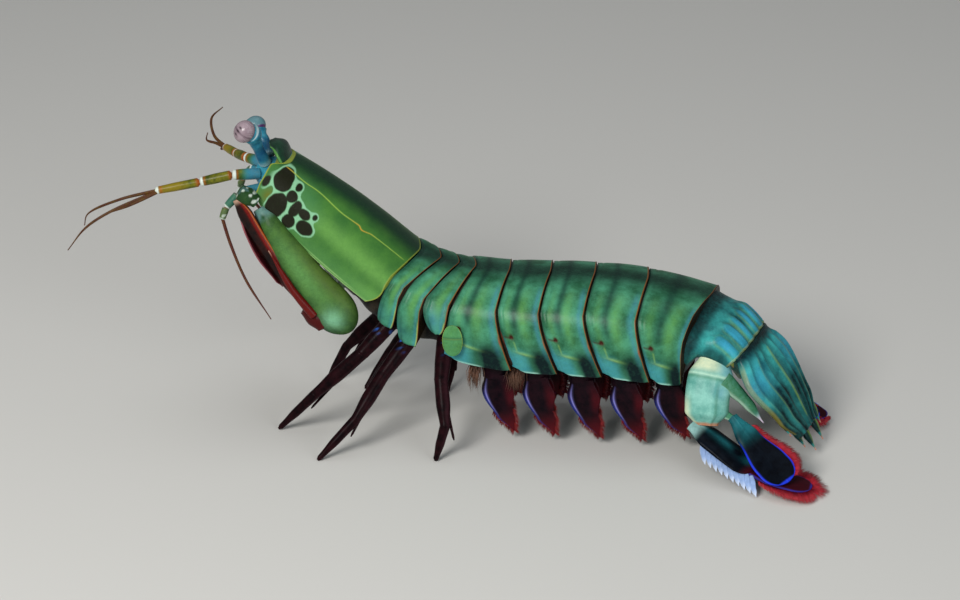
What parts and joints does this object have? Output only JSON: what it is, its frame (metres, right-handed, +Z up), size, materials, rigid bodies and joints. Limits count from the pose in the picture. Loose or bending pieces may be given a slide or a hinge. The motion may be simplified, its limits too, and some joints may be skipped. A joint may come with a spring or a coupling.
{
  "type": "mantis shrimp",
  "caption": "Life-size banded green mantis shrimp standing with raised fore body, folded striking claws, stalked eyes and a spread tail fan.",
  "frame": {"origin": "middle of the outline, on the floor", "axes": "+X towards the tail, head towards -X; +Y to the animal's right; +Z up"},
  "size_m": [0.182, 0.0635, 0.0767],
  "materials": {
    "club": "polished dark red shell",
    "eye": "banded eye surface, pinkish grey",
    "fan": "red setae and dark red shell",
    "feeler": "banded olive and orange-brown shell",
    "ink": "blue-black shell",
    "leg": "dark maroon shell",
    "olive": "glossy olive-green shell",
    "pale": "pale mint and cream shell",
    "shell": "glossy green shell",
    "stalk": "teal to blue shell",
    "tail": "glossy blue-green shell"
  },
  "bodies": {
    "root": {"carapace": "olive", "head": "stalk", "rostral_plate": "olive", "thorax_6": "shell", "thorax_7": "shell", "thorax_8": "shell", "abdomen_1": "shell", "abdomen_2": "shell", "abdomen_3": "shell", "abdomen_4": "shell", "abdomen_5": "shell", "abdomen_6": "tail", "telson": "tail", "trunk": "ink", "eye_stalk_left": "stalk", "eye_left": "eye", "antennule_left": "feeler", "antenna_left": "feeler", "antennal_scale_left": "fan", "claw_merus_left": "olive", "claw_carpus_left": "pale", "claw_propodus_left": "ink", "claw_club_left": "club", "mouth_limbs_left": "pale", "walking_leg_1_left": "leg", "walking_leg_2_left": "leg", "walking_leg_3_left": "leg", "swimming_leg_1_left": "ink", "swimming_leg_2_left": "ink", "swimming_leg_3_left": "ink", "swimming_leg_4_left": "ink", "swimming_leg_5_left": "ink", "uropod_base_left": "pale", "uropod_outer_left": "fan", "uropod_inner_left": "ink", "eye_stalk_right": "stalk", "eye_right": "eye", "antennule_right": "feeler", "antenna_right": "feeler", "antennal_scale_right": "fan", "claw_merus_right": "olive", "claw_carpus_right": "pale", "claw_propodus_right": "ink", "claw_club_right": "club", "mouth_limbs_right": "pale", "walking_leg_1_right": "leg", "walking_leg_2_right": "leg", "walking_leg_3_right": "leg", "swimming_leg_1_right": "ink", "swimming_leg_2_right": "ink", "swimming_leg_3_right": "ink", "swimming_leg_4_right": "ink", "swimming_leg_5_right": "ink", "uropod_base_right": "pale", "uropod_outer_right": "fan", "uropod_inner_right": "ink"}
  },
  "joints": []
}
